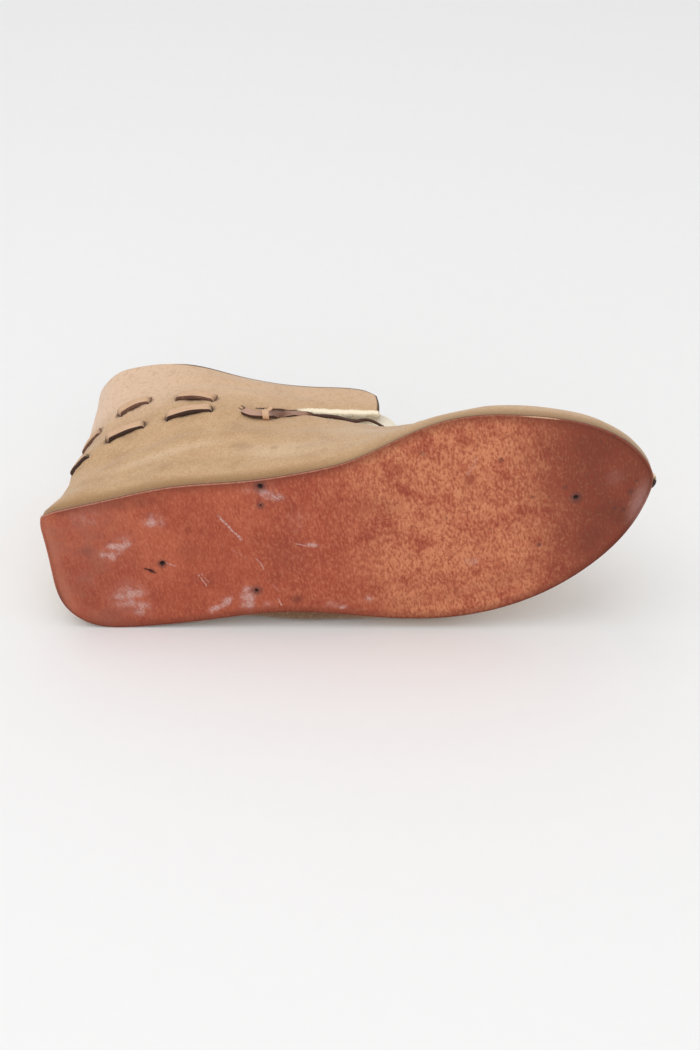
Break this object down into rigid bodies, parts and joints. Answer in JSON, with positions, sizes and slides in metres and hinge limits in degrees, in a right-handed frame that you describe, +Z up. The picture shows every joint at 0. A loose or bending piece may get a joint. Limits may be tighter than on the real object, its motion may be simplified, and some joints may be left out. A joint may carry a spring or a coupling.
{
  "type": "turnshoe",
  "caption": "Ankle-high leather turnshoe with a flat sole, a one-piece nubuck upper, a raw tongue between its flaps and flat thongs woven through slits round the ankle, lying on its side.",
  "frame": {"origin": "centre of the bounding box on the floor the shoe lies on, measured without the loose thong end and its hitch", "axes": "+X from heel to toe along the lying shoe, +Y from the tread towards the collar, +Z up from the floor, the medial side being on top"},
  "size_m": [0.2772, 0.1237, 0.1158],
  "materials": {
    "veg_tan_sole": "worn red-brown smooth side with a fine cracked grain",
    "tan_nubuck": "matt tan nubuck with soft creases",
    "raw_flesh_side": "cream raw flesh side, fuzzy",
    "thong_leather": "brown cut thong"
  },
  "bodies": {
    "root": {"sole": "veg_tan_sole", "upper": "tan_nubuck", "tongue": "raw_flesh_side", "thong_upper": "thong_leather", "thong_lower": "thong_leather", "thong_end": "thong_leather", "hitch": "thong_leather"}
  },
  "joints": []
}
